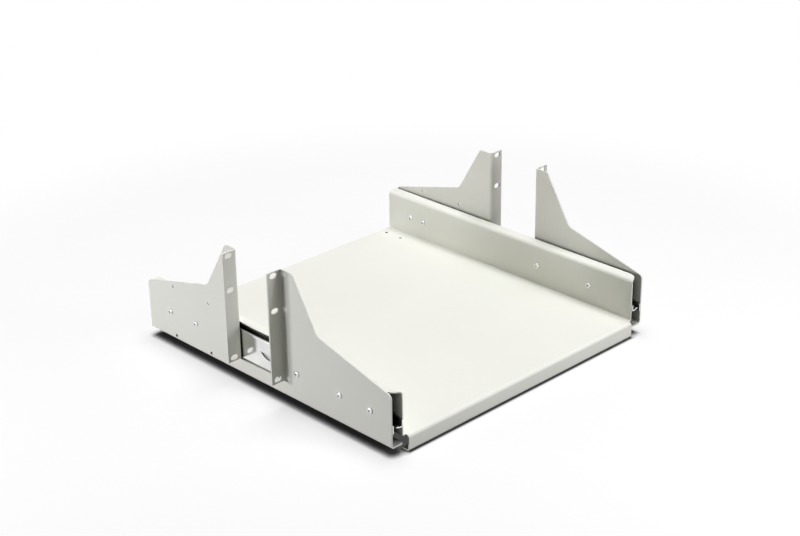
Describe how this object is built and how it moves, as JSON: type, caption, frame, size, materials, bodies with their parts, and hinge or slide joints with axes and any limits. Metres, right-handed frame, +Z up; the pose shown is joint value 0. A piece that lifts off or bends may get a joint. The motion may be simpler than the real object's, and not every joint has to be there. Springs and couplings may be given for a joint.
{
  "type": "sliding rack shelf",
  "caption": "Pull-out equipment shelf for a two-post relay rack: folded tray on full-extension ball-bearing slides between two centre-mount brackets with slotted ears.",
  "frame": {"origin": "centre of the footprint at the level of the tray's lips, with the tray pushed in", "axes": "+Z up, +Y to the rear of the rack (the tray pulls out along -Y), +X to the right seen from the front"},
  "size_m": [0.4826, 0.446, 0.1746],
  "materials": {
    "powder_coat": "satin powder coat, pale warm grey",
    "zinc_steel": "bright zinc plate",
    "cage_steel": "zinc plate",
    "ball_steel": "polished steel",
    "zinc_screw": "bright zinc plate",
    "black_plastic": "matte moulded plastic"
  },
  "bodies": {
    "rack_side": {"left_bracket": "powder_coat", "right_bracket": "powder_coat", "left_slide_outer_member": "zinc_steel", "left_bracket_screws": "zinc_screw", "left_slide_rear_bumper": "black_plastic", "right_slide_outer_member": "zinc_steel", "right_bracket_screws": "zinc_screw", "right_slide_rear_bumper": "black_plastic"},
    "tray": {"shelf_tray": "powder_coat", "left_slide_inner_member": "zinc_steel", "left_tray_screws": "zinc_screw", "right_slide_inner_member": "zinc_steel", "right_tray_screws": "zinc_screw"},
    "left_intermediate": {"left_slide_intermediate_member": "zinc_steel"},
    "left_outer_cage": {"left_outer_ball_cage": "cage_steel", "left_outer_balls": "ball_steel"},
    "left_inner_cage": {"left_inner_ball_cage": "cage_steel", "left_inner_balls": "ball_steel"},
    "right_intermediate": {"right_slide_intermediate_member": "zinc_steel"},
    "right_outer_cage": {"right_outer_ball_cage": "cage_steel", "right_outer_balls": "ball_steel"},
    "right_inner_cage": {"right_inner_ball_cage": "cage_steel", "right_inner_balls": "ball_steel"}
  },
  "joints": [
    {"name": "shelf_slide", "type": "slide", "parent": "rack_side", "child": "tray", "axis": [0, -1, 0], "range_m": [0, 0.4]},
    {"name": "left_intermediate_slide", "type": "slide", "parent": "rack_side", "child": "left_intermediate", "axis": [0, -1, 0], "range_m": [0, 0.2]},
    {"name": "left_outer_cage_slide", "type": "slide", "parent": "rack_side", "child": "left_outer_cage", "axis": [0, -1, 0], "range_m": [0, 0.1]},
    {"name": "left_inner_cage_slide", "type": "slide", "parent": "rack_side", "child": "left_inner_cage", "axis": [0, -1, 0], "range_m": [0, 0.3]},
    {"name": "right_intermediate_slide", "type": "slide", "parent": "rack_side", "child": "right_intermediate", "axis": [0, -1, 0], "range_m": [0, 0.2]},
    {"name": "right_outer_cage_slide", "type": "slide", "parent": "rack_side", "child": "right_outer_cage", "axis": [0, -1, 0], "range_m": [0, 0.1]},
    {"name": "right_inner_cage_slide", "type": "slide", "parent": "rack_side", "child": "right_inner_cage", "axis": [0, -1, 0], "range_m": [0, 0.3]}
  ],
  "couplings": [
    {"joint": "left_intermediate_slide", "follows": "shelf_slide", "ratio": 0.5},
    {"joint": "left_outer_cage_slide", "follows": "shelf_slide", "ratio": 0.25},
    {"joint": "left_inner_cage_slide", "follows": "shelf_slide", "ratio": 0.75},
    {"joint": "right_intermediate_slide", "follows": "shelf_slide", "ratio": 0.5},
    {"joint": "right_outer_cage_slide", "follows": "shelf_slide", "ratio": 0.25},
    {"joint": "right_inner_cage_slide", "follows": "shelf_slide", "ratio": 0.75}
  ]
}
